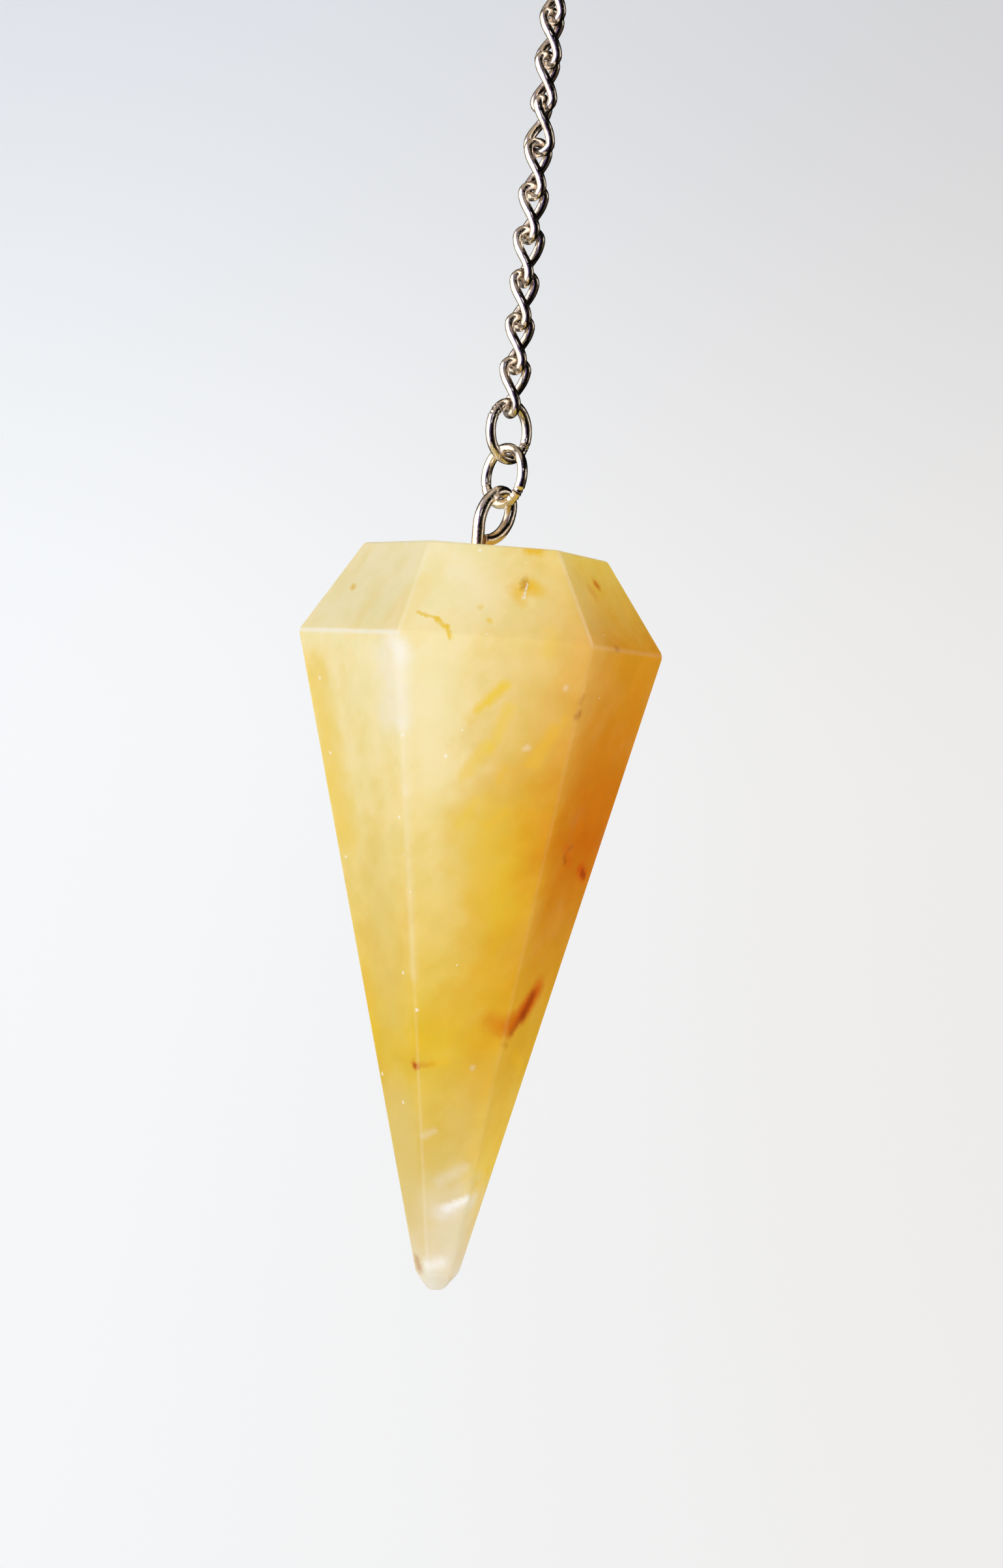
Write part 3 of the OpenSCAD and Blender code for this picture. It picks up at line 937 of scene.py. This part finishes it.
# %% [markdown]
# ## The curb chain
# A curb link starts as a flat oval and is twisted a quarter turn, so that the chain lies smooth. An
# oval mesh could be twisted by a modifier, but that would squeeze its wire. So the wire's middle is
# worked out on the flat oval first: a round end, a straight leg, and the same again turned by half.
# Then each level is turned about the link's own axis, most of all in the middle. The ends stay
# flat, because the next links hold them there.

# %% Links
LINK_STATIONS = 24
HALF_TWIST = 45


def flat_link():
    """The oval as (across, along) pairs, and which way is outwards at each."""
    leg = LINK_HALF - LINK_END
    half = []
    for k in range(LINK_STATIONS // 2):
        angle = math.pi * k / (LINK_STATIONS // 2)
        half.append((LINK_HALF_WIDTH * math.cos(angle), leg + LINK_END * math.sin(angle)))
    for k in range(LINK_STATIONS // 2):
        half.append((-LINK_HALF_WIDTH, leg * (1 - 2 * k / (LINK_STATIONS // 2))))
    return half + [(-across, -along) for across, along in half]


def twisted_link(height, turned):
    """The stations of one link round its twisted run."""
    leg = LINK_HALF - LINK_END
    reach = leg + LINK_END / 2

    def twist(across, along, level):
        share = max(-1, min(1, level / reach))
        angle = math.radians(90 + turned - HALF_TWIST * math.sin(math.pi / 2 * share))
        return Vector((across * math.cos(angle), across * math.sin(angle), along))

    oval = flat_link()
    points = [twist(across, along, along) for across, along in oval]
    stations = []
    for k, (across, along) in enumerate(oval):
        run = points[(k + 1) % len(points)] - points[k - 1]
        out = twist(across, along - max(-leg, min(leg, along)), along)
        stations.append(station(points[k] + Vector((0, 0, height)), run, out))
    return stations


metal_pieces = []
for number, turned in enumerate(LINK_TURNS, 1):
    height = FIRST_LINK - (number - 1) * LINK_PITCH
    shape = draw_wire(twisted_link(height, turned), LINK_WIRE, closed=True)
    name = f"chain_link_{number:02d}"
    metal_pieces.append(new_piece(name, shape, "chain", "silver_plate", f"link_{number:02d}"))
print("Links:", len(metal_pieces), "of", len(metal_pieces[0].data.polygons), "faces")

# %% [markdown]
# ## The jump rings
# A jump ring is a turn of wire, cut from a coil and closed with two pairs of pliers. The two ends
# meet at a seam, and the pliers leave flats and ridges beside it. A torus would have no seam, and
# its dents would need sculpting. So the ring is drawn from one side of the seam round to the
# other, and the dents are changes of the wire's thickness on the way.

# %% Rings
SEAM_WIDTH = 0.05
RING_STATIONS = 240


def dented(angle, dents):
    """How thick the wire is at an angle, given dents as (angle, width, depth)."""
    swell = 1.0
    for place_deg, width, depth in dents:
        off = abs((angle - place_deg + 180) % 360 - 180) / width
        if off < 1:
            swell -= depth * (1 - off * off) ** 2
    return swell


def ring_stations(height, turned, seam, dents):
    """A ring's stations from one side of its seam round to the other."""
    slit = math.degrees(SEAM_WIDTH / RING_RADIUS)
    level = turn(turned, "Z") @ turn(90, "X")
    stations = []
    for k in range(RING_STATIONS + 1):
        angle = seam + slit / 2 + (360 - slit) * k / RING_STATIONS
        a = math.radians(angle)
        out = level @ Vector((math.cos(a), math.sin(a), 0))
        run = level @ Vector((-math.sin(a), math.cos(a), 0))
        middle = out * RING_RADIUS + Vector((0, 0, height))
        stations.append(station(middle, run, out, dented(angle, dents)))
    return stations


# Each ring: height, turn, seam, body, and the plier marks as (angle, width, depth)
RINGS = {
    "end_ring": (END_RING, -45, 0, "chain", ((10, 5, 0.05), (-12, 6, 0.04))),
    "upper_ring": (
        UPPER_RING, 50, -25, "chain",
        (
            (-19, 4, 0.10), (-32, 5, 0.08), (137, 3, 0.14), (141, 3, -0.06), (147, 6, 0.07),
            (155, 3, 0.14), (159, 3, -0.05),
        ),
    ),
    "lower_ring": (
        LOWER_RING, -50, -35, "lower_ring",
        (
            (-28, 4, 0.12), (-21, 3, -0.05), (-43, 4, 0.10), (-52, 4, 0.12), (-60, 4, -0.04),
            (200, 5, 0.10),
        ),
    ),
}
for node, (height, turned, seam, body, dents) in RINGS.items():
    shape = draw_wire(ring_stations(height, turned, seam, dents), RING_WIRE, closed=False)
    metal_pieces.append(new_piece("bright_" + node, shape, body, "silver_plate", node))
print("Rings:", ", ".join(RINGS))

# %% [markdown]
# ## The wire eye
# The eye is one piece of wire. Its straight shank is glued into the drilled hole, a wide shoulder
# leads over to a tight round top, and a tail comes back down to the shank. A curve object could be
# fitted by eye, but real bends are arcs, made round a plier's round jaw. So the stations follow
# the arcs one after another, in the eye's own upright plane.

# %% Eye
# In millimetres: the step up the shank, and the gap that the tail keeps to it
SHANK_STEP, TAIL_GAP = 0.5, 0.04
# In degrees: the step round an arc
ARC_STEP = 6


def eye_arcs():
    """The eye's three arcs: middle, radius, and the angles that it runs between."""
    lean = math.radians(EYE_LEAN)
    reach = SHOULDER_RADIUS - TOP_RADIUS
    shoulder = TOP_CENTRE - reach * Vector((math.cos(lean), math.sin(lean)))
    tail = TOP_CENTRE - Vector((TAIL_RADIUS - TOP_RADIUS, 0))
    landing = SHANK_OUT + EYE_WIRE / 2 + TAIL_GAP - tail.x
    tail_end = math.degrees(math.acos(landing / TAIL_RADIUS))
    return (
        (shoulder, SHOULDER_RADIUS, 180, EYE_LEAN),
        (TOP_CENTRE, TOP_RADIUS, EYE_LEAN, 0),
        (tail, TAIL_RADIUS, 0, -tail_end),
    )


def eye_stations():
    """The eye's run in its plane, as points with their outward directions, put on the pivot."""
    arcs = eye_arcs()
    rise = arcs[0][0].y + SHANK_DEPTH
    steps = math.ceil(rise / SHANK_STEP)
    flat = []
    for k in range(steps):
        level = -SHANK_DEPTH + rise * k / steps
        flat.append((Vector((SHANK_OUT, level)), Vector((0, 1)), Vector((-1, 0))))
    for n, (centre, radius, start, end) in enumerate(arcs):
        count = math.ceil((start - end) / ARC_STEP)
        for k in range(count + (n == len(arcs) - 1)):
            a = math.radians(start + (end - start) * k / count)
            out = Vector((math.cos(a), math.sin(a)))
            flat.append((centre + radius * out, Vector((out.y, -out.x)), out))

    def upright(pair):
        return Vector((pair.x, 0, pair.y))

    turned = ON_PIVOT.to_3x3()
    return [
        station(ON_PIVOT @ upright(point), turned @ upright(run), turned @ upright(out))
        for point, run, out in flat
    ]


shape = draw_wire(eye_stations(), EYE_WIRE, closed=False)
metal_pieces.append(new_piece("wire_eye", shape, "pendant", "silver_plate", "eye"))
print("Eye:", len(metal_pieces[-1].data.polygons), "faces")

# %% [markdown]
# ## The silver finish
# The findings are plated brass: bright, but handled. The plate is slightly uneven, so reflections
# waver, and it is a little duller and browner where it has tarnished. Next to the stone the wire is
# duller still, and warmer, as it is in the photograph: the warmth is a painted reflection of the
# stone's amber glow. Each piece could have a material of its own, but one serves all the metal,
# because it reads the place of each point in the whole pendant.

# %% Silver plate
# Heights between which the painted reflection of the stone fades out, in millimetres
STONE_REFLECTION_FROM, STONE_REFLECTION_TO = -32.2, -29.8
STONE_REFLECTION_SHARE, TARNISH = 0.8, 0.5
BRIGHT_TONE, TARNISHED_TONE = paint(251, 241, 228), paint(186, 164, 139)
STONE_REFLECTION_TONE = paint(252, 217, 165)
LARGE_CLOUDS, SMALL_CLOUDS = 0.7, 2.2
SHINE, DULL_ROUGHNESS, NEAR_STONE_ROUGHNESS = 0.04, 0.07, 0.12
HAIRLINE_DENSITY, HAIRLINE_DEPTH = 5.0, -0.04
WAVER_FINENESS, WAVER_DEPTH, WAVER_BUMP = 1.6, 0.06, 0.8

silver, tree, shader = new_material("silver_plate")
object_place = add(tree, "ShaderNodeTexCoord").outputs["Object"]
place = add(tree, "ShaderNodeMapping", i0=object_place, Scale=(1 / MM,) * 3).outputs[0]
puffs = use(tree, cloud, Place=place, Large=LARGE_CLOUDS, Small=SMALL_CLOUDS)
dull = sum_up(tree, "MULTIPLY", puffs["Broad"], puffs["Fine"])
tarnish = sum_up(tree, "MULTIPLY", dull, TARNISH)
tone = blend_colours(tree, tarnish, BRIGHT_TONE, TARNISHED_TONE)
# Near the stone the wire gets a painted reflection of the stone's amber glow, and more roughness.
near_stone = ease(tree, split(tree, place)["Z"], STONE_REFLECTION_FROM, STONE_REFLECTION_TO, 1, 0)
tone = blend_colours(tree, sum_up(tree, "MULTIPLY", near_stone, STONE_REFLECTION_SHARE), tone, STONE_REFLECTION_TONE)
tree.links.new(tone, shader.inputs["Base Color"])
shader.inputs["Metallic"].default_value = 1.0
rough = sum_up(tree, "MULTIPLY_ADD", dull, DULL_ROUGHNESS, SHINE)
rough = sum_up(tree, "MULTIPLY_ADD", near_stone, NEAR_STONE_ROUGHNESS, rough)
tree.links.new(rough, shader.inputs["Roughness"])
hair = use(tree, scratch, Place=place, Density=HAIRLINE_DENSITY)[0]
uneven = noise(tree, place, WAVER_FINENESS, 1.0)[0]
height = sum_up(tree, "MULTIPLY_ADD", hair, HAIRLINE_DEPTH, uneven)
bump = add(tree, "ShaderNodeBump", Strength=WAVER_BUMP, Distance=WAVER_DEPTH * MM, Height=height)
tree.links.new(bump.outputs[0], shader.inputs["Normal"])
for piece in metal_pieces:
    piece.data.materials.append(silver)
print("Silver plate on", len(metal_pieces), "pieces")
